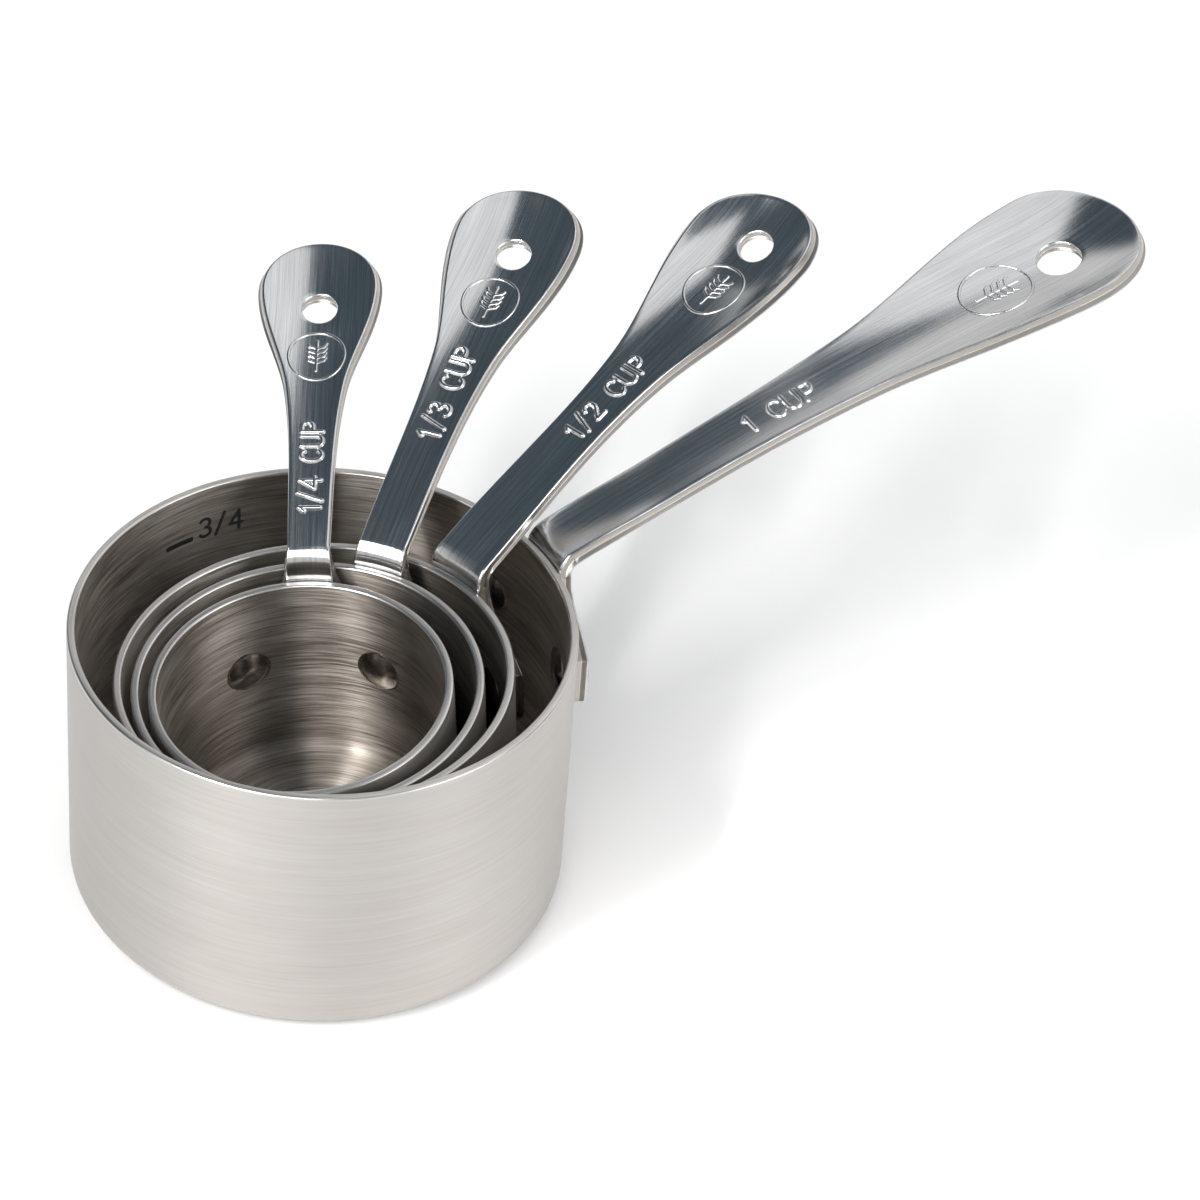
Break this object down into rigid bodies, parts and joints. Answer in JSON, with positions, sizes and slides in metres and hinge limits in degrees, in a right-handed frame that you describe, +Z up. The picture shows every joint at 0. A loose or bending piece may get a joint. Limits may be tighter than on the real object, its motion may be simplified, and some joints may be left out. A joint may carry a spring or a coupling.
{
  "type": "measuring cup set",
  "caption": "Nested straight-sided steel measuring cups, each with a long dished handle riveted to its wall and ending in a hanging hole.",
  "frame": {"origin": "centre of the largest cup's underside", "axes": "+Z up, +X along the largest cup's handle; the smaller cups' handles fan towards +Y"},
  "size_m": [0.1939, 0.1088, 0.0846],
  "materials": {
    "bowl_steel": "fine circumferential brushing, satin",
    "handle_steel": "polished face with fine lengthwise lines, satin edges",
    "rivet_steel": "polished dome",
    "mark_ink": "printed ink"
  },
  "bodies": {
    "one_cup": {"one_cup_bowl": "bowl_steel", "one_cup_handle": "handle_steel", "one_cup_rivet_left": "rivet_steel", "one_cup_rivet_right": "rivet_steel"},
    "half_cup": {"half_cup_bowl": "bowl_steel", "half_cup_handle": "handle_steel", "half_cup_rivet_left": "rivet_steel", "half_cup_rivet_right": "rivet_steel"},
    "third_cup": {"third_cup_bowl": "bowl_steel", "third_cup_handle": "handle_steel", "third_cup_rivet_left": "rivet_steel", "third_cup_rivet_right": "rivet_steel"},
    "quarter_cup": {"quarter_cup_bowl": "bowl_steel", "quarter_cup_handle": "handle_steel", "quarter_cup_rivet_left": "rivet_steel", "quarter_cup_rivet_right": "rivet_steel"}
  },
  "joints": [
    {"name": "half_cup_lift", "type": "slide", "parent": "one_cup", "child": "half_cup", "axis": [0, 0, 1], "range_m": [0, 0.06]},
    {"name": "third_cup_lift", "type": "slide", "parent": "half_cup", "child": "third_cup", "axis": [-0.068, 0.0113, 0.9976], "range_m": [0, 0.052]},
    {"name": "quarter_cup_lift", "type": "slide", "parent": "third_cup", "child": "quarter_cup", "axis": [-0.0908, -0.0206, 0.9957], "range_m": [0, 0.05]}
  ]
}
